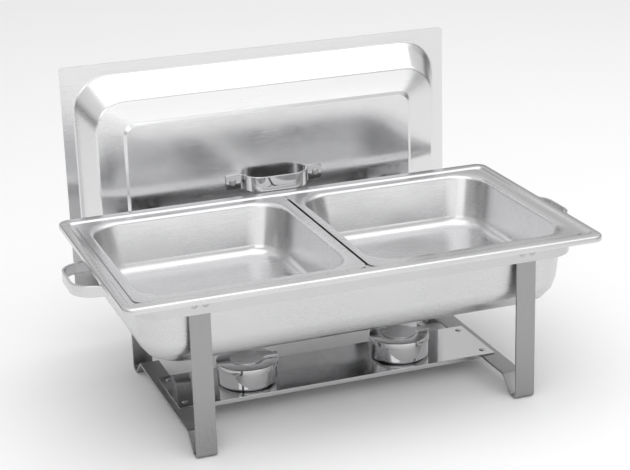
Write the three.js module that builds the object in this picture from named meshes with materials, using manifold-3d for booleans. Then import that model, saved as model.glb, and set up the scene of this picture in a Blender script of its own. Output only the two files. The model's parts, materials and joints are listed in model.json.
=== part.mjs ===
// Rectangular chafing dish with a flat-strip stand, a water pan, two half-size food pans, two fuel
// holders and a lift-off dome lid that stands upright in a rack behind the pans.
// Millimetres, +Z up. X runs along the length, -Y is the serving side, Z = 0 is the table.

import * as THREE from 'three';
import { mergeVertices } from 'three/addons/utils/BufferGeometryUtils.js';
import Module from 'manifold-3d';

const wasm = await Module();
wasm.setup();

// ---- driving dimensions -------------------------------------------------------------------
const GAP = 0.3; // between neighbours that touch on the real object
const RIM = { halfX: 295, halfY: 170, top: 206, corner: 14, lip: 7, sheet: 1 };
const WATER_PAN = { wallX: 268, wallY: 138, depth: 98, corner: 38, ledge: 2.6 };
const FOOD_PAN = {
  halfX: 137.8, halfY: 149, sheet: 0.9, depth: 65, corner: 12, bodyCorner: 41,
  flangeX: 12, flangeY: 15, draft: 9,
};
const FOOD_PAN_X = FOOD_PAN.halfX + 1.6; // centre of each half-size pan, either side of X = 0
const BAND = { halfX: 272, halfY: 146, thick: 2, height: 24, corner: 34 };
const LEG = { x: 203, wide: 25, thick: 3, foot: 13, footBend: 5, rise: 22, rivetX: 6.5 };
const SHELF = { halfX: 208, halfY: 50, top: 24, sheet: 1.5, flange: 5, rivetX: 197, rivetY: 36 };
const END_HANDLE = { halfY: 48, reach: 50, tall: 14, thick: 3, footLength: 19, bend: 26, drop: 16.8 };
const LID = {
  x: 5, halfX: 267, halfZ: 151, top: 381, back: 250, depth: 48, sheet: 0.9, corner: 5, domeCorner: 48,
};
const LID_HANDLE = {
  halfX: 45, reach: 29.6, tall: 20, thick: 2.6, footLength: 22, bend: 24, drop: 15, screwX: 58,
};
const RACK = { x: 150, wide: 22, thick: 3, channelHalfX: 168, slot: 4.8, wall: 1.4, lip: 11 };
const CUP = { left: -108, right: 95, y: -5, radius: 37, height: 28, sheet: 1 };
const COVER = { radius: 38.4, skirt: 7, sheet: 1, hole: 17 };
const DAMPER = { radius: 21, thick: 1.2, pivot: 27, tab: 19, tabHalf: 5 };
const RIVET = { shank: 2.2, head: 4.2, dome: 1.3, clearance: 0.3 };
const SCREW = { shank: 2.4, head: 4.8, dome: 2.2, nut: 4.6, nutThick: 3 };

// ---- worked-out places ---------------------------------------------------------------------
const BAND_TOP = RIM.top - RIM.sheet - WATER_PAN.ledge - GAP;
const BAND_MID = BAND_TOP - BAND.height / 2;
const LEG_OUTER = BAND.halfY - BAND.thick - GAP;
const LEG_TOP = BAND_TOP - 1;
const SKID_TOP = SHELF.top - SHELF.sheet - GAP;
const LID_CENTRE = LID.top - LID.halfZ;
const LID_FACE = LID.back - LID.depth;
const CHANNEL_FLOOR = LID.top - 2 * LID.halfZ - GAP;
const RACK_TOP = CHANNEL_FLOOR - RACK.wall - GAP;
const CUP_FLOOR = SHELF.top + GAP;
const COVER_TOP = CUP_FLOOR + CUP.height + GAP + COVER.sheet;
const REAR = LID.back + RACK.slot / 2 + RACK.wall + 4;
const DEPTH_CENTRE = (REAR - RIM.halfY) / 2;

// ---- finishes ------------------------------------------------------------------------------
const finish = (color, roughness, metalness = 1) => () =>
  new THREE.MeshStandardMaterial({ color, roughness, metalness });
const mirrorSteel = finish(0xd4d6d9, 0.12);
const satinSteel = finish(0xc3c5c8, 0.32);
const stripSteel = finish(0xa9acb0, 0.36);
const rivetSteel = finish(0xb4b6b9, 0.3);

// ---- solids and booleans -------------------------------------------------------------------
function toManifold(geometry) {
  const bare = geometry.clone();
  bare.deleteAttribute('normal');
  bare.deleteAttribute('uv');
  const merged = mergeVertices(bare, 1e-4);
  return new wasm.Manifold(
    new wasm.Mesh({
      numProp: 3,
      vertProperties: Float32Array.from(merged.attributes.position.array),
      triVerts: Uint32Array.from(merged.index.array),
    }),
  );
}

function toGeometry(solid) {
  const mesh = solid.getMesh();
  const geometry = new THREE.BufferGeometry();
  geometry.setAttribute('position', new THREE.BufferAttribute(mesh.vertProperties, 3));
  geometry.setIndex(new THREE.BufferAttribute(mesh.triVerts, 1));
  const flat = geometry.toNonIndexed();
  flat.computeVertexNormals();
  return flat;
}

function cut(geometry, tools) {
  const left = tools.reduce((solid, tool) => solid.subtract(toManifold(tool)), toManifold(geometry));
  return toGeometry(left);
}

const group = new THREE.Group();

function add(name, geometry, material, x = 0, y = 0, z = 0) {
  const mesh = new THREE.Mesh(geometry, material());
  mesh.name = name;
  mesh.position.set(x, y, z);
  group.add(mesh);
  return mesh;
}

// ---- sheet and strip helpers ---------------------------------------------------------------
// A line through the corners, each corner [u, v, bend radius] rounded by an arc of a few steps.
function bentLine(corners, steps = 3) {
  const points = [];
  corners.forEach(([u, v, bend = 0], i) => {
    const here = new THREE.Vector2(u, v);
    const before = corners[i - 1];
    const after = corners[i + 1];
    if (!before || !after || bend === 0) {
      points.push(here);
      return;
    }
    const back = new THREE.Vector2(before[0], before[1]).sub(here).normalize();
    const on = new THREE.Vector2(after[0], after[1]).sub(here).normalize();
    const half = Math.acos(THREE.MathUtils.clamp(back.dot(on), -1, 1)) / 2;
    const reach = bend / Math.tan(half);
    const centre = back.clone().add(on).normalize().multiplyScalar(bend / Math.sin(half)).add(here);
    const from = back.clone().multiplyScalar(reach).add(here).sub(centre);
    const to = on.clone().multiplyScalar(reach).add(here).sub(centre);
    const turn = Math.atan2(from.x * to.y - from.y * to.x, from.dot(to));
    for (let k = 0; k <= steps; k += 1) {
      points.push(from.clone().rotateAround(new THREE.Vector2(), (turn * k) / steps).add(centre));
    }
  });
  return points;
}

// The line moved sideways by a distance, to its left when the distance is positive.
function offsetLine(points, distance) {
  return points.map((point, i) => {
    const before = points[i - 1] ?? point;
    const after = points[i + 1] ?? point;
    const a = point.clone().sub(before).normalize();
    const b = after.clone().sub(point).normalize();
    const along = a.clone().add(b).normalize();
    const normal = new THREE.Vector2(-along.y, along.x);
    const ends = a.lengthSq() === 0 || b.lengthSq() === 0;
    const stretch = ends ? 1 : 1 / Math.sqrt(Math.max(0.2, (1 + a.dot(b)) / 2));
    return normal.multiplyScalar(distance * stretch).add(point);
  });
}

// A strip of metal bent along a line and extruded over its width, centred on the width.
function strip(corners, thick, wide, steps = 3) {
  const line = bentLine(corners, steps);
  const outline = [...offsetLine(line, thick / 2), ...offsetLine(line, -thick / 2).reverse()];
  const shape = new THREE.Shape(outline);
  return new THREE.ExtrudeGeometry(shape, { depth: wide, bevelEnabled: false }).translate(0, 0, -wide / 2);
}

// A strip whose line is drawn in (Y, Z), with its width along X.
const yzStrip = (...args) => strip(...args).rotateX(Math.PI / 2).rotateZ(Math.PI / 2);

// One ring of points round a rectangle with rounded corners.
function roundedRing(halfX, halfY, corner, z, steps = 5) {
  const centres = [[1, 1], [-1, 1], [-1, -1], [1, -1]];
  return centres.flatMap(([sx, sy], quarter) =>
    Array.from({ length: steps + 1 }, (_, k) => {
      const angle = ((quarter + k / steps) * Math.PI) / 2;
      const x = sx * (halfX - corner) + corner * Math.cos(angle);
      const y = sy * (halfY - corner) + corner * Math.sin(angle);
      return [x, y, z];
    }),
  );
}

// A closed solid through a list of rings. Open ends are closed by a fan; a loop joins end to start.
function loft(rings, closedLoop) {
  const count = rings[0].length;
  const position = rings.flat(2);
  const index = [];
  const spans = closedLoop ? rings.length : rings.length - 1;
  for (let r = 0; r < spans; r += 1) {
    const low = r * count;
    const high = ((r + 1) % rings.length) * count;
    for (let k = 0; k < count; k += 1) {
      const next = (k + 1) % count;
      index.push(low + k, low + next, high + next, low + k, high + next, high + k);
    }
  }
  if (!closedLoop) {
    const first = position.length / 3;
    position.push(0, 0, rings[0][0][2], 0, 0, rings.at(-1)[0][2]);
    const top = (rings.length - 1) * count;
    for (let k = 0; k < count; k += 1) {
      const next = (k + 1) % count;
      index.push(first, next, k, first + 1, top + k, top + next);
    }
  }
  const geometry = new THREE.BufferGeometry();
  geometry.setAttribute('position', new THREE.Float32BufferAttribute(position, 3));
  geometry.setIndex(index);
  const flat = geometry.toNonIndexed();
  flat.computeVertexNormals();
  return flat;
}

// A pressed pan or lid. The profile runs from the outer edge to the flat bottom, each corner given
// as [inset along X, inset along Y, height, bend, radius of the rounded rectangle there].
function pressing({ halfX, halfY, sheet }, profile, steps = 3) {
  const line = bentLine(profile.map(([insetX, , z, bend]) => [insetX, z, bend]), steps);
  const ring = (point) => {
    const after = Math.max(1, profile.findIndex(([insetX]) => insetX >= point.x));
    const [ax, ay, , , ar] = profile[after - 1];
    const [bx, by, , , br] = profile[after];
    const share = bx === ax ? 0 : THREE.MathUtils.clamp((point.x - ax) / (bx - ax), 0, 1);
    const insetY = point.x + THREE.MathUtils.lerp(ay - ax, by - bx, share);
    return roundedRing(halfX - point.x, halfY - insetY, THREE.MathUtils.lerp(ar, br, share), point.y);
  };
  const upper = offsetLine(line, sheet / 2).map(ring);
  const lower = offsetLine(line, -sheet / 2).map(ring);
  return loft([...lower.reverse(), ...upper], false);
}

// A round piece turned about Z, its profile given as [radius, z] from the bottom up.
function latheOf(profile, segments = 28) {
  const points = profile.map(([r, z]) => new THREE.Vector2(r, z));
  return new THREE.LatheGeometry(points, segments).rotateX(Math.PI / 2);
}

// ---- fasteners -----------------------------------------------------------------------------
// A rivet along +Z: its head sits on Z = 0 and the formed tail lies under the given grip.
function rivetShape(grip) {
  const { shank, head, dome } = RIVET;
  return latheOf([
    [0, -grip - dome], [shank * 1.3, -grip - dome], [shank * 1.5, -grip - 0.15],
    [shank, -grip - 0.15], [shank, 0.15], [head, 0.15], [head * 0.6, dome * 0.8], [0, dome],
  ], 12);
}

// Clearance holes for rivets and screws, along each axis.
function drill(length) {
  const radius = RIVET.shank + RIVET.clearance;
  return new THREE.CylinderGeometry(radius, radius, length, 12);
}
const drillY = (x, y, z, length = 20) => drill(length).translate(x, y, z);
const drillX = (x, y, z, length = 20) => drill(length).rotateZ(Math.PI / 2).translate(x, y, z);
const drillZ = (x, y, z, length = 20) => drill(length).rotateX(Math.PI / 2).translate(x, y, z);
// Turns a fastener's head from +Z to the side it is put in from.
const turn = {
  front: (fastener) => fastener.rotateX(Math.PI / 2),
  rear: (fastener) => fastener.rotateX(-Math.PI / 2),
  left: (fastener) => fastener.rotateY(-Math.PI / 2),
  right: (fastener) => fastener.rotateY(Math.PI / 2),
};

const SIDES = [['left', -1], ['right', 1]];
const FACES = [['front', -1], ['rear', 1]];

// ---- stand ---------------------------------------------------------------------------------
const RACK_RIVET_Z = [BAND_MID + 6, BAND_MID - 6];
const HANDLE_Z = BAND_TOP - END_HANDLE.drop;
const HANDLE_RIVET_Y = END_HANDLE.halfY + END_HANDLE.footLength - 6;

function bandHoles() {
  const legs = SIDES.flatMap(([, sx]) => FACES.flatMap(([, sy]) =>
    [-LEG.rivetX, LEG.rivetX].map((dx) => drillY(sx * LEG.x + dx, sy * BAND.halfY, BAND_MID))));
  const handles = SIDES.flatMap(([, sx]) =>
    [-1, 1].map((sy) => drillX(sx * BAND.halfX, sy * HANDLE_RIVET_Y, HANDLE_Z)));
  const rack = SIDES.flatMap(([, sx]) =>
    RACK_RIVET_Z.map((z) => drillY(sx * RACK.x, BAND.halfY, z)));
  return [...legs, ...handles, ...rack];
}

function frameBand() {
  const { halfX, halfY, thick, height, corner } = BAND;
  const low = BAND_TOP - height;
  const outer = (z) => roundedRing(halfX, halfY, corner, z);
  const inner = (z) => roundedRing(halfX - thick, halfY - thick, corner - thick, z);
  const ring = loft([outer(low), outer(BAND_TOP), inner(BAND_TOP), inner(low)], true);
  return cut(ring, bandHoles());
}

// One bent strip per end: front leg, front foot, run under the shelf, rear foot, rear leg.
function legFrame(side) {
  const { thick, foot, footBend } = LEG;
  const face = LEG_OUTER - thick / 2;
  const floor = thick / 2;
  const run = SKID_TOP - thick / 2;
  const footIn = face - foot;
  const half = [
    [face, LEG_TOP, 0], [face, floor, footBend],
    [footIn, floor, footBend], [footIn - LEG.rise, run, footBend],
  ];
  const line = [...half.map(([y, z, bend]) => [-y, z, bend]), ...half.reverse()];
  const bent = yzStrip(line, thick, LEG.wide);
  const holes = FACES.flatMap(([, sy]) =>
    [-LEG.rivetX, LEG.rivetX].map((dx) => drillY(dx, sy * face, BAND_MID)));
  const inward = side * (SHELF.rivetX - LEG.x);
  const shelfHoles = [-1, 1].map((sy) => drillZ(inward, sy * SHELF.rivetY, run));
  return cut(bent, [...holes, ...shelfHoles]);
}

function fuelShelf() {
  const { halfX, halfY, top, sheet, flange } = SHELF;
  const deck = new THREE.BoxGeometry(2 * halfX, 2 * halfY, sheet).translate(0, 0, top - sheet / 2);
  const length = 2 * (LEG.x - LEG.wide / 2 - 2);
  const solid = [-1, 1].reduce((sum, sy) => {
    const lip = new THREE.BoxGeometry(length, sheet, flange)
      .translate(0, sy * (halfY - sheet / 2), top - flange / 2);
    return sum.add(toManifold(lip));
  }, toManifold(deck));
  const holes = SIDES.flatMap(([, sx]) =>
    [-1, 1].map((sy) => drillZ(sx * SHELF.rivetX, sy * SHELF.rivetY, top)));
  return cut(toGeometry(solid), holes);
}

// A bow handle in the (X, Y) plane: feet on the Y axis side X = 0, the grip at X = reach.
function bowHandle({ halfY, reach, tall, thick, footLength, bend }) {
  const foot = thick / 2;
  const half = [[foot, halfY + footLength, 0], [foot, halfY, 4], [reach - thick / 2, halfY - 8, bend]];
  const other = half.map(([x, y, r]) => [x, -y, r]).reverse();
  return strip([...half, ...other], thick, tall, 4);
}

function endHandle() {
  const holes = [-1, 1].map((sy) => drillX(0, sy * HANDLE_RIVET_Y, 0));
  return cut(bowHandle(END_HANDLE), holes);
}

// ---- lid rack behind the pans ---------------------------------------------------------------
const RACK_FRONT = BAND.halfY + GAP;
const CHANNEL_Y = LID.back - LID.sheet / 2;

function rackArm() {
  const { thick, wide } = RACK;
  const upright = RACK_FRONT + thick / 2;
  const run = RACK_TOP - thick / 2;
  const bent = yzStrip([[upright, BAND_TOP - 1], [upright, run, 10], [REAR, run]], thick, wide);
  return cut(bent, RACK_RIVET_Z.map((z) => drillY(0, RACK_FRONT, z)));
}

function rackChannel() {
  const { slot, wall, lip, channelHalfX } = RACK;
  const half = slot / 2;
  const section = new THREE.Shape([
    [-half - wall, -wall], [half + wall, -wall], [half + wall, lip], [half, lip],
    [half, 0], [-half, 0], [-half, lip], [-half - wall, lip],
  ].map(([y, z]) => new THREE.Vector2(y, z)));
  return new THREE.ExtrudeGeometry(section, { depth: 2 * channelHalfX, bevelEnabled: false })
    .translate(0, 0, -channelHalfX)
    .rotateX(Math.PI / 2)
    .rotateZ(Math.PI / 2);
}

// ---- pans ------------------------------------------------------------------------------------
function waterPan() {
  const { top, lip, sheet, halfX, halfY, corner } = RIM;
  const { ledge, depth, corner: bodyCorner } = WATER_PAN;
  const mid = top - sheet / 2;
  const ledgeZ = mid - ledge;
  const wallX = halfX - WATER_PAN.wallX;
  const wallY = halfY - WATER_PAN.wallY;
  const bottom = top - depth + sheet / 2;
  const edge = sheet / 2;
  const profile = [
    [edge, edge, top - lip, 0, corner], [edge, edge, mid, 2.4, corner],
    [9, 16, mid, 1.5, corner - 6], [11, 18, ledgeZ, 1.5, corner - 8],
    [wallX, wallY, ledgeZ, 2, bodyCorner], [wallX + 8, wallY + 8, bottom, 36, bodyCorner],
    [wallX + 60, wallY + 60, bottom, 0, 12],
  ];
  return pressing({ halfX, halfY, sheet }, profile);
}

function foodPan() {
  const { halfX, halfY, sheet, depth, corner, bodyCorner, flangeX, flangeY, draft } = FOOD_PAN;
  const flange = RIM.top - WATER_PAN.ledge + GAP + sheet / 2;
  const bottom = flange - depth;
  const profile = [
    [0, 0, flange, 0, corner], [flangeX, flangeY, flange, 5, bodyCorner],
    [flangeX + draft, flangeY + draft, bottom, 15, bodyCorner],
    [flangeX + draft + 36, flangeY + draft + 36, bottom, 0, 10],
  ];
  return pressing({ halfX, halfY, sheet }, profile);
}

// ---- lid -------------------------------------------------------------------------------------
// Pressed with its open side up, then stood on edge with the open side to the rear.
function lidShell() {
  const { halfX, halfZ, depth, sheet, corner, domeCorner } = LID;
  const rim = -sheet / 2;
  const face = -depth + sheet / 2;
  const profile = [
    [0, 0, rim, 0, corner], [16, 16, rim, 2.5, domeCorner],
    [33, 41, face + 7, 5, domeCorner - 8], [68, 71, face + 2.5, 2, 16],
    [72, 75, face, 2, 14], [112, 112, face, 0, 6],
  ];
  const shell = pressing({ halfX, halfY: halfZ, sheet }, profile).rotateX(-Math.PI / 2);
  const holes = [-1, 1].map((sx) => drillY(sx * LID_HANDLE.screwX, -depth, -LID_HANDLE.drop));
  return cut(shell, holes);
}

function lidHandle() {
  const { halfX, screwX, ...size } = LID_HANDLE;
  const bow = bowHandle({ halfY: halfX, ...size }).rotateZ(-Math.PI / 2);
  const holes = [-1, 1].map((sx) => drillY(sx * screwX, 0, 0));
  return cut(bow, holes);
}

// A pan-head screw along +Z with its head on Z = 0, and the nut that closes it.
function lidScrew(length) {
  const { shank, head, dome } = SCREW;
  return latheOf([
    [0, -length], [shank, -length], [shank, 0.15], [head, 0.15], [head * 0.75, dome], [0, dome],
  ], 12);
}

function lidNut() {
  const { shank, nut, nutThick } = SCREW;
  const body = new THREE.CylinderGeometry(nut, nut, nutThick, 6);
  const bore = new THREE.CylinderGeometry(shank + 0.15, shank + 0.15, nutThick * 2, 12);
  return cut(body, [bore]);
}

// ---- fuel holders ----------------------------------------------------------------------------
function fuelCup() {
  const { radius, height, sheet } = CUP;
  return latheOf([
    [0, 0], [radius - 4, 0], [radius - 1, 1], [radius, 4], [radius, height],
    [radius - sheet, height], [radius - sheet, 4.4], [radius - 4.4, 1 + sheet], [0, 1 + sheet],
  ]);
}

// The cover drops over the cup; its top has a burner hole, its skirt laps the cup wall.
function cupCover() {
  const { radius, skirt, sheet, hole } = COVER;
  const top = latheOf([
    [hole, -sheet], [radius - sheet, -sheet], [radius - sheet, -skirt], [radius, -skirt],
    [radius, -1], [radius - 1, 0], [hole, 0], [hole, -sheet],
  ]);
  return cut(top, [drillZ(0, DAMPER.pivot, 0)]);
}

// The swivel damper: a disc over the burner hole, a narrow neck to its pivot and a finger tab.
function damper() {
  const { radius, thick, pivot, tab, tabHalf } = DAMPER;
  const disc = new THREE.CylinderGeometry(radius, radius, thick, 28).rotateX(Math.PI / 2);
  const neck = new THREE.BoxGeometry(13, 16, thick).translate(0, pivot - 6, 0);
  const eye = new THREE.CylinderGeometry(6.5, 6.5, thick, 20).rotateX(Math.PI / 2).translate(0, pivot, 0);
  const arm = new THREE.BoxGeometry(tab + 6, 2 * tabHalf, thick).translate(radius + tab / 2 - 3, 0, 0);
  const plate = [disc, neck, eye, arm].map(toManifold).reduce((sum, piece) => sum.add(piece));
  return cut(toGeometry(plate), [drillZ(0, pivot, 0)]).translate(0, -pivot, thick / 2);
}

// ---- assembly --------------------------------------------------------------------------------
const SEAT = 0.15; // from a fastener's head to the face under it
const SLACK = 0.3; // spare length of a rivet under its tail

function addLegRivets(side, sx, face, sy) {
  const grip = BAND.thick + GAP + LEG.thick + SLACK;
  for (const [place, dx] of [['outer', sx * LEG.rivetX], ['inner', -sx * LEG.rivetX]]) {
    const rivet = turn[face](rivetShape(grip));
    const x = sx * LEG.x + dx;
    add(`${face}_${side}_leg_${place}_rivet`, rivet, rivetSteel, x, sy * (BAND.halfY + SEAT), BAND_MID);
  }
}

function addHandleRivet(side, sx, face, sy) {
  const rivet = turn[side](rivetShape(END_HANDLE.thick + GAP + BAND.thick + SLACK));
  const x = sx * (BAND.halfX + GAP + END_HANDLE.thick + SEAT);
  add(`${face}_${side}_handle_rivet`, rivet, rivetSteel, x, sy * HANDLE_RIVET_Y, HANDLE_Z);
}

function addShelfRivet(side, sx, face, sy) {
  const rivet = rivetShape(SHELF.sheet + GAP + LEG.thick + SLACK);
  const y = sy * SHELF.rivetY;
  add(`${face}_${side}_shelf_rivet`, rivet, rivetSteel, sx * SHELF.rivetX, y, SHELF.top + SEAT);
}

function addRackRivets(side, sx) {
  const y = RACK_FRONT + RACK.thick + SEAT;
  for (const [place, z] of [['upper', RACK_RIVET_Z[0]], ['lower', RACK_RIVET_Z[1]]]) {
    const rivet = turn.rear(rivetShape(RACK.thick + GAP + BAND.thick + SLACK));
    add(`${side}_rack_${place}_rivet`, rivet, rivetSteel, sx * RACK.x, y, z);
  }
}

add('frame_band', frameBand(), stripSteel);
add('fuel_shelf', fuelShelf(), mirrorSteel);
add('rack_channel', rackChannel(), satinSteel, 0, CHANNEL_Y, CHANNEL_FLOOR);
for (const [side, sx] of SIDES) {
  add(`${side}_leg_frame`, legFrame(sx), stripSteel, sx * LEG.x);
  const handleX = sx * (BAND.halfX + GAP);
  const handle = add(`${side}_end_handle`, endHandle(), satinSteel, handleX, 0, HANDLE_Z);
  handle.rotation.z = sx < 0 ? Math.PI : 0;
  add(`${side}_rack_arm`, rackArm(), stripSteel, sx * RACK.x);
  addRackRivets(side, sx);
  for (const [face, sy] of FACES) {
    addLegRivets(side, sx, face, sy);
    addHandleRivet(side, sx, face, sy);
    addShelfRivet(side, sx, face, sy);
  }
}

add('water_pan', waterPan(), satinSteel);
for (const [side, sx] of SIDES) {
  add(`food_pan_${side}`, foodPan(), satinSteel, sx * FOOD_PAN_X);
}

add('lid', lidShell(), mirrorSteel, LID.x, LID.back, LID_CENTRE);
const LID_HANDLE_Z = LID_CENTRE - LID_HANDLE.drop;
add('lid_handle', lidHandle(), mirrorSteel, LID.x, LID_FACE - GAP, LID_HANDLE_Z);
for (const [side, sx] of SIDES) {
  const x = LID.x + sx * LID_HANDLE.screwX;
  const headY = LID_FACE - GAP - LID_HANDLE.thick - SEAT;
  const length = LID_HANDLE.thick + GAP + LID.sheet + SCREW.nutThick + 1.5;
  add(`lid_handle_${side}_screw`, turn.front(lidScrew(length)), rivetSteel, x, headY, LID_HANDLE_Z);
  const nutY = LID_FACE + LID.sheet + 0.2 + SCREW.nutThick / 2;
  add(`lid_handle_${side}_nut`, lidNut(), rivetSteel, x, nutY, LID_HANDLE_Z);
}

for (const [side] of SIDES) {
  const x = CUP[side];
  add(`${side}_fuel_cup`, fuelCup(), mirrorSteel, x, CUP.y, CUP_FLOOR);
  add(`${side}_cup_cover`, cupCover(), mirrorSteel, x, CUP.y, COVER_TOP);
  const pivotY = CUP.y + DAMPER.pivot;
  add(`${side}_damper`, damper(), satinSteel, x, pivotY, COVER_TOP + GAP);
  const pin = rivetShape(DAMPER.thick + GAP + COVER.sheet + SLACK);
  const pinZ = COVER_TOP + GAP + DAMPER.thick + SEAT;
  add(`${side}_damper_rivet`, pin, rivetSteel, x, pivotY, pinZ);
}

// The origin is under the middle of the whole object, on the table.
group.position.y = -DEPTH_CENTRE;

export default group;
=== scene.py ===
# %% [markdown]
# A rectangular chafing dish, modelled and finished piece by piece.
# The measured frame is loaded first. Everything afterwards is placed from its boxes, so a new
# sheet-metal piece drops in exactly where its plain engineering solid was.

# %% Load the frame
import json
import math

import bpy
from mathutils import Matrix, Vector


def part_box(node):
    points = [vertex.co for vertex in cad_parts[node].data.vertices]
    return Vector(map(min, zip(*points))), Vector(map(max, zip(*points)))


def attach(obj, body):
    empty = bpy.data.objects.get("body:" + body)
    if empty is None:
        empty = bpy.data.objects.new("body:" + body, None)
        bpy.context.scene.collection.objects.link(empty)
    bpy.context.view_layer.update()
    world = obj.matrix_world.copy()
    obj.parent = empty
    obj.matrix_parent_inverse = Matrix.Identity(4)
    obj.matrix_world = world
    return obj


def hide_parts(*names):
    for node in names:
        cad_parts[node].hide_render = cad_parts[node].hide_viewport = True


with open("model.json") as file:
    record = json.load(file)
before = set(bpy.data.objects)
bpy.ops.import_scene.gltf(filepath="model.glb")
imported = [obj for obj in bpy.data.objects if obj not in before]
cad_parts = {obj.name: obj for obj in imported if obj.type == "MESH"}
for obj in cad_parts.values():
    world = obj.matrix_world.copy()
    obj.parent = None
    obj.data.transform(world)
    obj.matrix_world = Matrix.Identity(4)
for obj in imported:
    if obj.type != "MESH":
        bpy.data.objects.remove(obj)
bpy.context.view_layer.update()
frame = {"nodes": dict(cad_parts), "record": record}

MM = 0.001

# %% [markdown]
# Operators act on whatever is selected, and loading leaves the whole frame selected. A helper that
# returns to object mode with nothing selected is used before every new piece.

# %% Start clean
def start_clean():
    if bpy.context.object and bpy.context.object.mode != "OBJECT":
        bpy.ops.object.mode_set(mode="OBJECT")
    bpy.ops.object.select_all(action="DESELECT")


def middle(node):
    low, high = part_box(node)
    return Vector([(a + b) / 2 for a, b in zip(low, high)])


start_clean()

# %% [markdown]
# The camera stands to the left of the serving side, a little above the rim, with a long lens, so
# the pans are seen from above while the legs and the fuel holders stay in view.

# %% Camera
CAMERA = {
    "azimuth": -19.84, "elevation": 18.90, "roll": -1.73, "distance": 2.0701,
    "right": 0.01094, "up": 0.00893, "lens": 96.75, "sensor": 36,
}


def aim_camera(aim):
    azimuth, elevation, roll = (math.radians(CAMERA[key]) for key in ("azimuth", "elevation", "roll"))
    level = math.cos(elevation)
    back = Vector((math.sin(azimuth) * level, -math.cos(azimuth) * level, math.sin(elevation)))
    right = Vector((0, 0, 1)).cross(back).normalized()
    up = back.cross(right)
    side = right * math.cos(roll) + up * math.sin(roll)
    top = up * math.cos(roll) - right * math.sin(roll)
    place = aim + back * CAMERA["distance"] - side * CAMERA["right"] - top * CAMERA["up"]
    camera = bpy.data.objects.new("camera", bpy.data.cameras.new("camera"))
    turn = Matrix((side, top, back)).transposed().to_4x4()
    camera.matrix_world = Matrix.Translation(place) @ turn
    camera.data.lens = CAMERA["lens"]
    camera.data.sensor_width = CAMERA["sensor"]
    bpy.context.scene.collection.objects.link(camera)
    bpy.context.scene.camera = camera


rim_low, rim_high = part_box("water_pan")
rim_centre = Vector(((rim_low[0] + rim_high[0]) / 2, (rim_low[1] + rim_high[1]) / 2, rim_high[2]))
aim_camera(rim_centre)
print("camera aims at", [round(v, 3) for v in rim_centre])

# %% [markdown]
# Polished steel shows its surroundings, so the studio matters as much as the metal. The floor is
# pale, a wide soft light hangs overhead, and two weaker ones stand at the front and front left. The
# world is light above and dark near the horizon, so that bends and walls pick up the dark lines
# that make sheet metal read as metal.

# %% Floor, lights and world
FLOOR_SIZE = 14
FLOOR_GREY = 0.93
WORLD_STRENGTH = 0.95
WORLD_GREYS = [  # (height, grey): 0 is straight down, 0.5 the horizon, 1 straight up
    (0.0, 0.80), (0.46, 0.80), (0.49, 0.35), (0.53, 0.50), (0.58, 0.18), (0.68, 0.80), (1.0, 1.0),
]


def studio_floor():
    start_clean()
    bpy.ops.mesh.primitive_plane_add(size=FLOOR_SIZE, location=(0, 2, 0))
    floor = bpy.context.object
    floor.name = "studio_floor"
    paint = bpy.data.materials.new("pale_floor")
    paint.use_nodes = True
    shader = paint.node_tree.nodes["Principled BSDF"]
    shader.inputs["Base Color"].default_value = (FLOOR_GREY, FLOOR_GREY, FLOOR_GREY, 1)
    shader.inputs["Roughness"].default_value = 0.9
    shader.inputs["Specular IOR Level"].default_value = 0.1
    floor.data.materials.append(paint)


def softbox(name, place, aim, size, power):
    light = bpy.data.objects.new(name, bpy.data.lights.new(name, "AREA"))
    light.data.shape = "RECTANGLE"
    light.data.size, light.data.size_y = size
    light.data.energy = power
    light.location = place
    light.rotation_euler = (Vector(aim) - Vector(place)).to_track_quat("-Z", "Y").to_euler()
    light.visible_camera = False
    bpy.context.scene.collection.objects.link(light)


def studio_world():
    world = bpy.data.worlds.new("studio")
    world.use_nodes = True
    nodes, links = world.node_tree.nodes, world.node_tree.links
    background = nodes["Background"]
    place = nodes.new("ShaderNodeTexCoord")
    split = nodes.new("ShaderNodeSeparateXYZ")
    ramp = nodes.new("ShaderNodeValToRGB")
    heights = nodes.new("ShaderNodeMapRange")
    heights.inputs["From Min"].default_value = -1
    links.new(place.outputs["Generated"], split.inputs["Vector"])
    links.new(split.outputs["Z"], heights.inputs["Value"])
    links.new(heights.outputs["Result"], ramp.inputs["Fac"])
    band = ramp.color_ramp
    while len(band.elements) < len(WORLD_GREYS):
        band.elements.new(0.5)
    for element, (at, grey) in zip(band.elements, WORLD_GREYS):
        element.position = at
        element.color = (grey, grey, grey, 1)
    links.new(ramp.outputs["Color"], background.inputs["Color"])
    background.inputs["Strength"].default_value = WORLD_STRENGTH
    bpy.context.scene.world = world


studio_floor()
studio_world()
softbox("overhead_softbox", (0.2, -0.3, 2.2), (0, 0, 0.1), (3.2, 2.4), 20)
softbox("left_softbox", (-1.6, -2.2, 1.4), (0, 0, 0.2), (1.6, 1.4), 7)
softbox("front_softbox", (0.4, -2.9, 0.75), (0, 0, 0.25), (3.2, 1.1), 11)
bpy.context.scene.view_settings.view_transform = "Standard"
print("studio ready")

# %% [markdown]
# Stainless steel comes in several finishes on one dish. They share one recipe: a metal whose
# roughness drifts a little from place to place, fine lines along the direction of rolling or
# polishing, and a slight waviness left by the press, which is what bends the reflections.

# %% Steel
NOISE_LOW, NOISE_HIGH = 0.3, 0.7  # the part of a noise's range that is spread out
DRIFT = 0.35  # how far roughness wanders, as a share of itself
EVEN = (1, 1, 1)


def grey(value):
    return (value, value, value * 1.01, 1)


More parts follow.
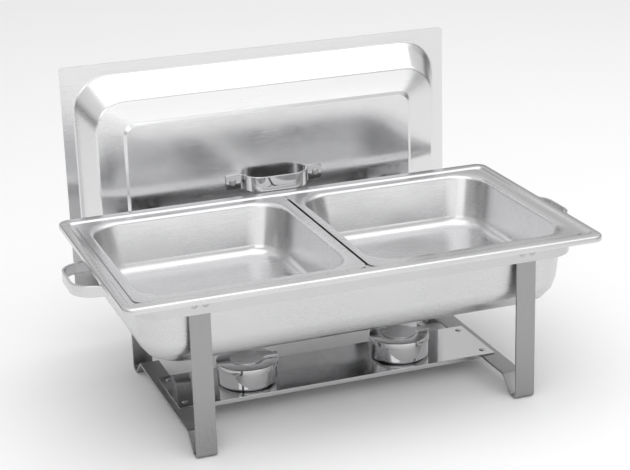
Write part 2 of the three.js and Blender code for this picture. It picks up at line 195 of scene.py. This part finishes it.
def noise_at(tree, scale, stretch, detail):
    place = tree.nodes.new("ShaderNodeTexCoord")
    mapping = tree.nodes.new("ShaderNodeMapping")
    mapping.inputs["Scale"].default_value = stretch
    noise = tree.nodes.new("ShaderNodeTexNoise")
    noise.inputs["Scale"].default_value = scale
    noise.inputs["Detail"].default_value = detail
    tree.links.new(place.outputs["Object"], mapping.inputs["Vector"])
    tree.links.new(mapping.outputs["Vector"], noise.inputs["Vector"])
    return noise


def spread(tree, source, low, high):
    reach = tree.nodes.new("ShaderNodeMapRange")
    reach.inputs["From Min"].default_value = NOISE_LOW
    reach.inputs["From Max"].default_value = NOISE_HIGH
    reach.inputs["To Min"].default_value = low
    reach.inputs["To Max"].default_value = high
    tree.links.new(source, reach.inputs["Value"])
    return reach.outputs["Result"]


def bump(tree, height, distance, under=None):
    node = tree.nodes.new("ShaderNodeBump")
    node.inputs["Strength"].default_value = 1.0
    node.inputs["Distance"].default_value = distance
    tree.links.new(height, node.inputs["Height"])
    if under:
        tree.links.new(under, node.inputs["Normal"])
    return node.outputs["Normal"]


def steel(name, colour, rough, grain, grain_depth, wave_depth):
    """grain stretches the lines along x, y and z; the depths are in metres."""
    material = bpy.data.materials.new(name)
    material.use_nodes = True
    tree = material.node_tree
    shader = tree.nodes["Principled BSDF"]
    shader.inputs["Metallic"].default_value = 1.0
    cloud = noise_at(tree, 9.0, EVEN, 4.0)
    lines = noise_at(tree, 1.0, grain, 4.0)
    tint = tree.nodes.new("ShaderNodeMix")
    tint.data_type = "RGBA"
    tint.inputs["A"].default_value = grey(colour * 0.93)
    tint.inputs["B"].default_value = grey(colour)
    tree.links.new(spread(tree, cloud.outputs["Fac"], 0, 1), tint.inputs["Factor"])
    tree.links.new(tint.outputs["Result"], shader.inputs["Base Color"])
    drifted = spread(tree, cloud.outputs["Fac"], rough * (1 - DRIFT), rough * (1 + DRIFT))
    streaked = tree.nodes.new("ShaderNodeMath")
    streaked.operation = "MULTIPLY"
    tree.links.new(drifted, streaked.inputs[0])
    tree.links.new(spread(tree, lines.outputs["Fac"], 0.8, 1.2), streaked.inputs[1])
    tree.links.new(streaked.outputs["Value"], shader.inputs["Roughness"])
    wave = noise_at(tree, 14.0, EVEN, 1.5)
    waved = bump(tree, wave.outputs["Fac"], wave_depth)
    tree.links.new(bump(tree, lines.outputs["Fac"], grain_depth, waved), shader.inputs["Normal"])
    return material


FINISH = {
    "mirror": steel("mirror_polished_steel", 0.60, 0.07, (60, 900, 900), 1e-6, 3e-4),
    "dome": steel("polished_dome_steel", 0.76, 0.20, (60, 900, 900), 6e-7, 2e-4),
    "satin": steel("satin_pan_steel", 0.66, 0.27, (30, 1600, 1600), 6e-7, 1e-4),
    "strip": steel("rolled_strip_steel", 0.36, 0.33, (1200, 1200, 40), 3e-6, 1e-4),
    "band": steel("satin_band_steel", 0.60, 0.30, (40, 40, 1200), 1e-6, 1e-4),
    "fastener": steel("fastener_steel", 0.50, 0.28, (300, 300, 300), 2e-6, 0.0),
}
print("finishes:", ", ".join(FINISH))

# %% [markdown]
# Every frame node that keeps its own shape gets its finish here, from the slot the record names.

# %% Finish the frame nodes
SLOTS = {part["node"]: part["material_slot"] for part in frame["record"]["subparts"]}
for node, thing in frame["nodes"].items():
    thing.data.materials.clear()
    thing.data.materials.append(FINISH[SLOTS[node]])
print("frame nodes finished:", len(frame["nodes"]))

# %% [markdown]
# A pressed pan is one sheet drawn down in steps. It is modelled as a stack of rounded-rectangle
# rings: each ring is a plane whose four corners are bevelled, with its face removed. The rings are
# first stacked well apart, because bridging two rings in one plane can join them crosswise. Once
# neighbours are bridged, each ring is pulled to its true height, the innermost one is filled, and
# Solidify gives the sheet its thickness.

# %% Rings and bridges
CORNER_STEPS = 8
BEND_STEPS = 4
STACK = 0.1  # between rings while they are bridged


def group_selected(thing, name):
    bpy.ops.object.vertex_group_assign_new()
    thing.vertex_groups[-1].name = name


def choose_groups(thing, *names):
    bpy.ops.mesh.select_all(action="DESELECT")
    for name in names:
        thing.vertex_groups.active_index = thing.vertex_groups[name].index
        bpy.ops.object.vertex_group_select()


def add_ring(thing, name, half_x, half_y, corner, height):
    bpy.ops.mesh.select_all(action="DESELECT")
    bpy.ops.mesh.primitive_plane_add(size=2, location=(0, 0, height))
    bpy.ops.transform.resize(value=(half_x, half_y, 1), center_override=(0, 0, height))
    bpy.ops.mesh.bevel(offset=corner, segments=CORNER_STEPS, affect="VERTICES", clamp_overlap=False)
    group_selected(thing, name)
    bpy.ops.mesh.delete(type="ONLY_FACE")


def empty_piece(name):
    start_clean()
    bpy.ops.mesh.primitive_plane_add(size=1)
    thing = bpy.context.object
    thing.name = name
    thing.data.name = name
    bpy.ops.object.mode_set(mode="EDIT")
    bpy.ops.mesh.select_mode(type="VERT")
    bpy.ops.mesh.delete(type="VERT")
    return thing


print("ring helpers ready:", CORNER_STEPS, "steps to a corner")

# %% [markdown]
# Sheet metal never folds to a knife edge. Each bend is an arc that touches both flats, so it starts
# r * tan(turn / 2) before their crossing, and it becomes a handful of extra rings.

# %% Bends in a profile
def bend_points(before, here, after, radius):
    before, here, after = Vector(before), Vector(here), Vector(after)
    if radius == 0:
        return [here]
    back, on = (before - here).normalized(), (after - here).normalized()
    half = back.angle(on) / 2
    centre = here + (back + on).normalized() * (radius / math.sin(half))
    start = here + back * (radius / math.tan(half)) - centre
    end = here + on * (radius / math.tan(half)) - centre
    turn = math.atan2(start.x * end.y - start.y * end.x, start.dot(end))
    points = []
    for step in range(BEND_STEPS + 1):
        angle = turn * step / BEND_STEPS
        swung = (start.x * math.cos(angle) - start.y * math.sin(angle),
                 start.x * math.sin(angle) + start.y * math.cos(angle))
        points.append(centre + Vector(swung))
    return points


def between(value, low, high):
    return 0.0 if high == low else min(1.0, max(0.0, (value - low) / (high - low)))


def rounded_profile(profile):
    """Every ring of a profile, bends included, as (inset x, inset y, height, corner radius)."""
    flat = [(point[0], point[2]) for point in profile]
    line = [Vector(flat[0])]
    for number in range(1, len(profile) - 1):
        line += bend_points(flat[number - 1], flat[number], flat[number + 1], profile[number][3])
    line.append(Vector(flat[-1]))
    rings = []
    for point in line:
        reached = (k for k, row in enumerate(profile) if row[0] >= point.x - 1e-6)
        after = max(1, next(reached, len(profile) - 1))
        start, end = profile[after - 1], profile[after]
        share = between(point.x, start[0], end[0])
        extra = (start[1] - start[0]) * (1 - share) + (end[1] - end[0]) * share
        corner = start[4] * (1 - share) + end[4] * share
        rings.append((point.x, point.x + extra, point.y, corner))
    return rings


print("bend helpers ready:", BEND_STEPS, "steps to a bend")

# %% [markdown]
# The finishing steps are the same for every sheet: merge doubles, point the faces outwards, give
# the sheet its thickness, and shade it smooth except at true edges.

# %% Sheet finishing
SHEET_SMOOTH = 40  # degrees; sharper edges stay crisp


def finish_sheet(thing, thick):
    bpy.ops.mesh.select_all(action="SELECT")
    bpy.ops.mesh.remove_doubles(threshold=0.00001)
    bpy.ops.mesh.normals_make_consistent(inside=False)
    bpy.ops.object.mode_set(mode="OBJECT")
    thing.vertex_groups.clear()
    wall = thing.modifiers.new("sheet", "SOLIDIFY")
    wall.thickness = thick
    wall.offset = 0
    wall.use_even_offset = True
    bpy.ops.object.modifier_apply(modifier="sheet")
    bpy.ops.object.shade_smooth_by_angle(angle=math.radians(SHEET_SMOOTH))


def pressed_sheet(name, half, profile, thick):
    """profile rows, from the edge to the floor, in mm: inset x, inset y, height, bend, corner."""
    thing = empty_piece(name)
    rings = rounded_profile(profile)
    for number, (inset_x, inset_y, height, corner) in enumerate(rings):
        size = (half[0] - inset_x * MM, half[1] - inset_y * MM)
        add_ring(thing, f"ring{number}", *size, corner * MM, -number * STACK)
    for number in range(1, len(rings)):
        choose_groups(thing, f"ring{number - 1}", f"ring{number}")
        bpy.ops.mesh.bridge_edge_loops()
    for number, ring in enumerate(rings):
        choose_groups(thing, f"ring{number}")
        bpy.ops.transform.translate(value=(0, 0, ring[2] * MM + number * STACK))
    bpy.ops.mesh.edge_face_add()
    finish_sheet(thing, thick * MM)
    return thing


def place_piece(thing, move, turn=(0, 0, 0)):
    thing.rotation_euler = turn
    thing.location = move
    bpy.context.view_layer.objects.active = thing
    thing.select_set(True)
    bpy.ops.object.transform_apply(location=True, rotation=True, scale=True)


def hand_over(thing, body, finish, *nodes):
    thing.data.materials.clear()
    thing.data.materials.append(FINISH[finish])
    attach(thing, body)
    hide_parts(*nodes)
    print(f"{thing.name}: {len(thing.data.polygons)} faces")


print("sheet helpers ready")

# %% [markdown]
# The water pan carries everything: its rolled lip shows all round, a shallow ledge inside the lip
# takes the food pans, and its deep body hangs inside the stand's band.

# %% Water pan
RIM_SHEET = 1.0
RIM_LIP = 7
RIM_CORNER = 14
LEDGE = 2.6
BODY_CORNER = 38


def half_size(node):
    low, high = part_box(node)
    return (high[0] - low[0]) / 2, (high[1] - low[1]) / 2


def water_pan():
    low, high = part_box("water_pan")
    depth = (high[2] - low[2]) / MM
    mid = -RIM_SHEET / 2
    bottom = -depth + RIM_SHEET / 2
    ledge = mid - LEDGE
    edge = RIM_SHEET / 2
    profile = [
        (edge, edge, -RIM_LIP, 0, RIM_CORNER),  # hem of the lip
        (edge, edge, mid, 2.4, RIM_CORNER),  # top of the lip
        (9, 16, mid, 1.5, 8),  # step down to the ledge
        (11, 18, ledge, 1.5, 6),
        (27, 32, ledge, 2, BODY_CORNER),  # top of the body wall
        (35, 40, bottom, 36, BODY_CORNER),  # foot of the wall, with its wide bend
        (87, 92, bottom, 0, 12),  # floor
    ]
    pan = pressed_sheet("water_pan_sheet", half_size("water_pan"), profile, RIM_SHEET)
    centre = middle("water_pan")
    place_piece(pan, (centre.x, centre.y, high[2]))
    return pan


hand_over(water_pan(), "water_pan", "satin", "water_pan")

# %% [markdown]
# The two food pans are alike, so both are built by the same function, each with its own mesh.

# %% Food pans
FOOD_SHEET = 0.9
FOOD_DEPTH = 65
FOOD_CORNER = 41


def food_pan(node):
    low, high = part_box(node)
    top = -FOOD_SHEET / 2
    bottom = top - FOOD_DEPTH
    profile = [
        (0, 0, top, 0, 12),  # edge of the flange
        (12, 15, top, 5, FOOD_CORNER),  # top of the wall
        (21, 24, bottom, 15, FOOD_CORNER),  # foot of the wall
        (57, 60, bottom, 0, 10),  # floor
    ]
    pan = pressed_sheet(f"{node}_sheet", half_size(node), profile, FOOD_SHEET)
    centre = middle(node)
    place_piece(pan, (centre.x, centre.y, high[2]))
    return pan


for side in ("left", "right"):
    node = f"food_pan_{side}"
    hand_over(food_pan(node), node, "satin", node)

# %% [markdown]
# The lid is pressed like a pan, with its open side up, and is then stood on its long edge with the
# open side to the rear.

# %% Lid
LID_SHEET = 0.9
LID_DEPTH = 48


def lid():
    low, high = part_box("lid")
    half = ((high[0] - low[0]) / 2, (high[2] - low[2]) / 2)
    rim = -LID_SHEET / 2
    face = -LID_DEPTH + LID_SHEET / 2
    profile = [
        (0, 0, rim, 0, 5),  # edge of the flange
        (16, 16, rim, 2.5, 48),  # foot of the dome
        (33, 41, face + 7, 5, 40),  # shoulder
        (68, 71, face + 2.5, 2, 16),  # sloping border of the panel
        (72, 75, face, 2, 14),  # small step in
        (112, 112, face, 0, 6),  # flat panel
    ]
    shell = pressed_sheet("lid_sheet", half, profile, LID_SHEET)
    centre = middle("lid")
    place_piece(shell, (centre.x, high[1], centre.z), (-math.pi / 2, 0, 0))
    return shell


hand_over(lid(), "lid", "dome", "lid")

# %% [markdown]
# The stand is bent from flat strip. A strip is modelled by drawing one edge of it: a single vertex
# is extruded from bend to bend along the strip's centre line, the line is pulled sideways over the
# strip's width, and Solidify gives it its thickness. Each bend is an arc, made of short steps.

# %% Strips
EDGE_ANGLE = 40  # degrees; edges sharper than this are softened
STRIP_SMOOTH = 35


def line_points(corners):
    """The centre line through (u, v, bend radius) corners, in mm, with an arc at every bend."""
    flat = [(corner[0], corner[1]) for corner in corners]
    line = [Vector(flat[0])]
    for number in range(1, len(corners) - 1):
        line += bend_points(flat[number - 1], flat[number], flat[number + 1], corners[number][2])
    return line + [Vector(flat[-1])]


def extrude_line(points):
    """Select the one vertex at the first point, then pull it from point to point."""
    bpy.ops.mesh.select_all(action="SELECT")
    for start, end in zip(points, points[1:]):
        bpy.ops.mesh.extrude_vertices_move(TRANSFORM_OT_translate={"value": end - start})


def one_vertex(name, place):
    start_clean()
    bpy.ops.mesh.primitive_plane_add(size=1, location=(0, 0, 0))
    thing = bpy.context.object
    thing.name = name
    thing.data.name = name
    bpy.ops.object.mode_set(mode="EDIT")
    bpy.ops.mesh.select_mode(type="VERT")
    bpy.ops.mesh.select_all(action="SELECT")
    bpy.ops.mesh.merge(type="CENTER")
    bpy.ops.transform.translate(value=place)
    return thing


def soften(thing, width, segments=2):
    edge = thing.modifiers.new("edge", "BEVEL")
    edge.width = width
    edge.segments = segments
    edge.limit_method = "ANGLE"
    edge.angle_limit = math.radians(EDGE_ANGLE)
    bpy.ops.object.modifier_apply(modifier="edge")
    bpy.ops.object.shade_smooth_by_angle(angle=math.radians(STRIP_SMOOTH))


def bent_strip(name, points, across, wide, thick, edge=0.4):
    """A strip whose centre line runs through the points (metres) and whose width lies along across."""
    across = Vector(across)
    half = across * (wide / 2)
    strip = one_vertex(name, points[0] - half)
    extrude_line(points)
    bpy.ops.mesh.select_all(action="SELECT")
    bpy.ops.mesh.extrude_region_move(TRANSFORM_OT_translate={"value": across * wide})
    finish_sheet(strip, thick)
    soften(strip, edge * MM)
    return strip


print("strip helpers ready")

# %% [markdown]
# Rivet and screw holes are punched through the finished strip. The drill is a short cylinder that
# only serves as the cutter of a Boolean, and is deleted afterwards.

# %% Punched holes
HOLE_RADIUS = 2.5
DRILL_LENGTH = 14
DRILL_SIDES = 24
ALONG_X = (0, math.pi / 2, 0)
ALONG_Y = (math.pi / 2, 0, 0)
ALONG_Z = (0, 0, 0)


def punch(thing, places, turn):
    for place in places:
        bpy.ops.object.select_all(action="DESELECT")
        bpy.ops.mesh.primitive_cylinder_add(
            vertices=DRILL_SIDES, radius=HOLE_RADIUS * MM, depth=DRILL_LENGTH * MM,
            location=place, rotation=turn)
        drill = bpy.context.object
        bpy.context.view_layer.objects.active = thing
        hole = thing.modifiers.new("hole", "BOOLEAN")
        hole.object = drill
        hole.solver = "EXACT"
        bpy.ops.object.modifier_apply(modifier="hole")
        drill_mesh = drill.data
        bpy.data.objects.remove(drill)
        bpy.data.meshes.remove(drill_mesh)


print("punch ready, hole radius", HOLE_RADIUS, "mm")

# %% [markdown]
# One strip makes both legs of an end: it comes down the front, folds under into a narrow foot,
# rises to carry the shelf, and does the same in reverse at the back.

# %% Leg frames
LEG_THICK = 3
FOOT = 13
FOOT_RISE = 22
FOOT_BEND = 5
SHELF_SHEET = 1.5
SHELF_GAP = 0.3  # between the shelf and the strip under it


def leg_frame(node):
    low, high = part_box(node)
    centre = middle(node)
    shelf_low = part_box("fuel_shelf")[1][2] / MM - SHELF_SHEET - SHELF_GAP
    face = (high[1] - low[1]) / 2 / MM - LEG_THICK / 2
    run = shelf_low - LEG_THICK / 2
    half = [
        (face, high[2] / MM, 0), (face, LEG_THICK / 2, FOOT_BEND),
        (face - FOOT, LEG_THICK / 2, FOOT_BEND), (face - FOOT - FOOT_RISE, run, FOOT_BEND),
    ]
    corners = [(-y, z, bend) for y, z, bend in half] + half[::-1]
    points = [Vector((centre.x, centre.y + p.x * MM, p.y * MM)) for p in line_points(corners)]
    return bent_strip(f"{node}_strip", points, (1, 0, 0), high[0] - low[0], LEG_THICK * MM)


for side in ("left", "right"):
    node = f"{side}_leg_frame"
    strip = leg_frame(node)
    for face in ("front", "rear"):
        punch(strip, [middle(f"{face}_{side}_leg_{place}_rivet") for place in ("outer", "inner")], ALONG_Y)
    punch(strip, [middle(f"{face}_{side}_shelf_rivet") for face in ("front", "rear")], ALONG_Z)
    hand_over(strip, "stand", "strip", node)

# %% [markdown]
# The bow handles are shorter strips: two flat feet against the sheet, and a rounded grip between
# them that stands off far enough for fingers.

# %% Handles
END_HANDLE = {"half_span": 48, "reach": 50, "foot": 19, "bend": 26, "thick": 3}
LID_HANDLE = {"half_span": 45, "reach": 29.6, "foot": 22, "bend": 24, "thick": 2.6}
FOOT_TURN = 4  # radius where a foot turns out into the grip
GRIP_TAPER = 8  # how much nearer the middle the grip's corners are
HANDLE_EDGE = 0.8
NUT_TO_FOOT = 5  # from the middle of a nut to the handle's foot


def bow_line(half_span, reach, foot, bend, thick):
    half = [
        (thick / 2, half_span + foot, 0), (thick / 2, half_span, FOOT_TURN),
        (reach - thick / 2, half_span - GRIP_TAPER, bend),
    ]
    return line_points(half + [(out, -along, turn) for out, along, turn in half[::-1]])


def end_handle(node, out):
    low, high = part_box(node)
    centre = middle(node)
    foot_x = low[0] if out > 0 else high[0]
    line = bow_line(**END_HANDLE)
    points = [Vector((foot_x + out * p.x * MM, centre.y + p.y * MM, centre.z)) for p in line]
    tall, thick = high[2] - low[2], END_HANDLE["thick"] * MM
    return bent_strip(f"{node}_strip", points, (0, 0, 1), tall, thick, HANDLE_EDGE)


for side, out in (("left", -1), ("right", 1)):
    node = f"{side}_end_handle"
    strip = end_handle(node, out)
    punch(strip, [middle(f"{face}_{side}_handle_rivet") for face in ("front", "rear")], ALONG_X)
    hand_over(strip, "stand", "satin", node)


def lid_handle():
    low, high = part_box("lid_handle")
    centre = middle("lid_handle")
    line = bow_line(**LID_HANDLE)
    points = [Vector((centre.x + p.y * MM, high[1] - p.x * MM, centre.z)) for p in line]
    tall, thick = high[2] - low[2], LID_HANDLE["thick"] * MM
    return bent_strip("lid_handle_strip", points, (0, 0, 1), tall, thick, HANDLE_EDGE)


grip = lid_handle()
for side in ("left", "right"):
    punch(grip, [middle(f"lid_handle_{side}_nut") - Vector((0, NUT_TO_FOOT * MM, 0))], ALONG_Y)
hand_over(grip, "lid", "mirror", "lid_handle")

# %% [markdown]
# The band that ties the legs together is a flat strip on edge, bent round the pan. Two rounded
# rectangles are bridged into its wall, and the rivet holes are punched through it.

# %% Frame band
BAND_THICK = 2
BAND_CORNER = 33
BAND_EDGE = 0.3


def frame_band():
    low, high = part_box("frame_band")
    half_x, half_y = half_size("frame_band")
    inset = BAND_THICK / 2 * MM
    band = empty_piece("frame_band_strip")
    for name, height in (("upper", high[2]), ("lower", low[2])):
        add_ring(band, name, half_x - inset, half_y - inset, BAND_CORNER * MM, height)
    choose_groups(band, "upper", "lower")
    bpy.ops.mesh.bridge_edge_loops()
    finish_sheet(band, BAND_THICK * MM)
    centre = middle("frame_band")
    place_piece(band, (centre.x, centre.y, 0))
    soften(band, BAND_EDGE * MM)
    return band


band = frame_band()
for side in ("left", "right"):
    for face in ("front", "rear"):
        legs = [middle(f"{face}_{side}_leg_{place}_rivet") for place in ("outer", "inner")]
        punch(band, legs, ALONG_Y)
        punch(band, [middle(f"{face}_{side}_handle_rivet")], ALONG_X)
    punch(band, [middle(f"{side}_rack_{place}_rivet") for place in ("upper", "lower")], ALONG_Y)
hand_over(band, "stand", "band", "frame_band")

# %% [markdown]
# Behind the pans, two strip arms run back from the band and carry a narrow channel. The lid stands
# in it on its long edge. Both are bent strips again; the channel's strip is bent into a U.

# %% Lid rack
RACK_THICK = 3
RACK_BEND = 10
CHANNEL_WALL = 1.4
CHANNEL_EDGE = 0.2


def rack_arm(node):
    low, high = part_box(node)
    upright, run = low[1] / MM + RACK_THICK / 2, low[2] / MM + RACK_THICK / 2
    corners = [(upright, high[2] / MM, 0), (upright, run, RACK_BEND), (high[1] / MM, run, 0)]
    points = [Vector((middle(node).x, p.x * MM, p.y * MM)) for p in line_points(corners)]
    return bent_strip(f"{node}_strip", points, (1, 0, 0), high[0] - low[0], RACK_THICK * MM)


for side in ("left", "right"):
    node = f"{side}_rack_arm"
    arm = rack_arm(node)
    punch(arm, [middle(f"{side}_rack_{place}_rivet") for place in ("upper", "lower")], ALONG_Y)
    hand_over(arm, "stand", "strip", node)


def rack_channel():
    low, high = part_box("rack_channel")
    wall = CHANNEL_WALL / 2
    front, back = low[1] / MM + wall, high[1] / MM - wall
    floor, lip = low[2] / MM + wall, high[2] / MM
    corners = [(front, lip, 0), (front, floor, wall), (back, floor, wall), (back, lip, 0)]
    points = [Vector((middle("rack_channel").x, p.x * MM, p.y * MM)) for p in line_points(corners)]
    wide = high[0] - low[0]
    return bent_strip("rack_channel_strip", points, (1, 0, 0), wide, CHANNEL_WALL * MM, CHANNEL_EDGE)


hand_over(rack_channel(), "stand", "satin", "rack_channel")

# %% [markdown]
# The fuel shelf is a bright sheet laid across the two leg strips. Its long edges are turned down
# for stiffness, but only between the legs, so the sheet is first cut across where the lips end.

# %% Fuel shelf
LIP_SETBACK = 2  # from the end of a lip to the leg strip
SHELF_EDGE = 0.35


def fuel_shelf():
    low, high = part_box("fuel_shelf")
    centre = middle("fuel_shelf")
    inset = SHELF_SHEET / 2 * MM
    shelf_top = high[2] - inset
    lip_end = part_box("right_leg_frame")[0][0] - LIP_SETBACK * MM
    start_clean()
    bpy.ops.mesh.primitive_plane_add(size=2, location=(0, 0, 0))
    shelf = bpy.context.object
    shelf.name = shelf.data.name = "fuel_shelf_sheet"
    bpy.ops.object.mode_set(mode="EDIT")
    size = ((high[0] - low[0]) / 2, (high[1] - low[1]) / 2 - inset, 1)
    bpy.ops.transform.resize(value=size, center_override=(0, 0, 0))
    for cut in (-lip_end, lip_end):
        bpy.ops.mesh.select_all(action="SELECT")
        bpy.ops.mesh.bisect(plane_co=(cut, 0, 0), plane_no=(1, 0, 0))
    for edge_y in (-size[1], size[1]):
        bpy.ops.mesh.select_all(action="DESELECT")
        bpy.ops.object.mode_set(mode="OBJECT")
        for vertex in shelf.data.vertices:
            on_edge = abs(vertex.co.y - edge_y) < 1e-5 and vertex.co.z > -1e-5
            vertex.select = on_edge and abs(vertex.co.x) < lip_end + 1e-5
        bpy.ops.object.mode_set(mode="EDIT")
        bpy.ops.mesh.extrude_region_move(TRANSFORM_OT_translate={"value": (0, 0, low[2] - shelf_top)})
    finish_sheet(shelf, SHELF_SHEET * MM)
    place_piece(shelf, (centre.x, centre.y, shelf_top))
    soften(shelf, SHELF_EDGE * MM, 3)
    return shelf


shelf = fuel_shelf()
for face in ("front", "rear"):
    punch(shelf, [middle(f"{face}_{side}_shelf_rivet") for side in ("left", "right")], ALONG_Z)
hand_over(shelf, "stand", "mirror", "fuel_shelf")

# %% [markdown]
# The fuel holders are turned shapes. A profile is drawn as a line of vertices out from the axis and
# spun once round it. The seam is merged before Solidify gives the wall its thickness, because a
# spun surface can come out inside out until its normals are made consistent.

# %% Fuel holders
SPIN_STEPS = 72
CUP_SHEET = 1
CUP_BEND = 3.5
COVER_BEND = 1.2
COVER_OPENING = 17
CUP_EDGE = 0.25


def turned(name, corners, thick, centre):
    line = [centre + Vector((p.x, 0, p.y)) * MM for p in line_points(corners)]
    thing = one_vertex(name, line[0])
    extrude_line(line)
    bpy.ops.mesh.select_all(action="SELECT")
    bpy.ops.mesh.spin(steps=SPIN_STEPS, angle=2 * math.pi, center=centre, axis=(0, 0, 1))
    finish_sheet(thing, thick * MM)
    soften(thing, CUP_EDGE * MM)
    return thing


def fuel_cup(node):
    low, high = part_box(node)
    centre = middle(node)
    radius = (high[0] - low[0]) / 2 / MM - CUP_SHEET / 2
    height = (high[2] - low[2]) / MM
    mid = CUP_SHEET / 2
    corners = [(0, mid, 0), (radius, mid, CUP_BEND), (radius, height, 0)]
    return turned(f"{node}_sheet", corners, CUP_SHEET, Vector((centre.x, centre.y, low[2])))


def cup_cover(node):
    low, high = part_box(node)
    centre = middle(node)
    radius = (high[0] - low[0]) / 2 / MM - CUP_SHEET / 2
    skirt = (high[2] - low[2]) / MM
    mid = -CUP_SHEET / 2
    corners = [(COVER_OPENING, mid, 0), (radius, mid, COVER_BEND), (radius, -skirt, 0)]
    return turned(f"{node}_sheet", corners, CUP_SHEET, Vector((centre.x, centre.y, high[2])))


for side in ("left", "right"):
    hand_over(fuel_cup(f"{side}_fuel_cup"), f"{side}_fuel_holder", "mirror", f"{side}_fuel_cup")
    cover = cup_cover(f"{side}_cup_cover")
    punch(cover, [middle(f"{side}_damper_rivet")], ALONG_Z)
    hand_over(cover, f"{side}_holder_cover", "mirror", f"{side}_cup_cover")
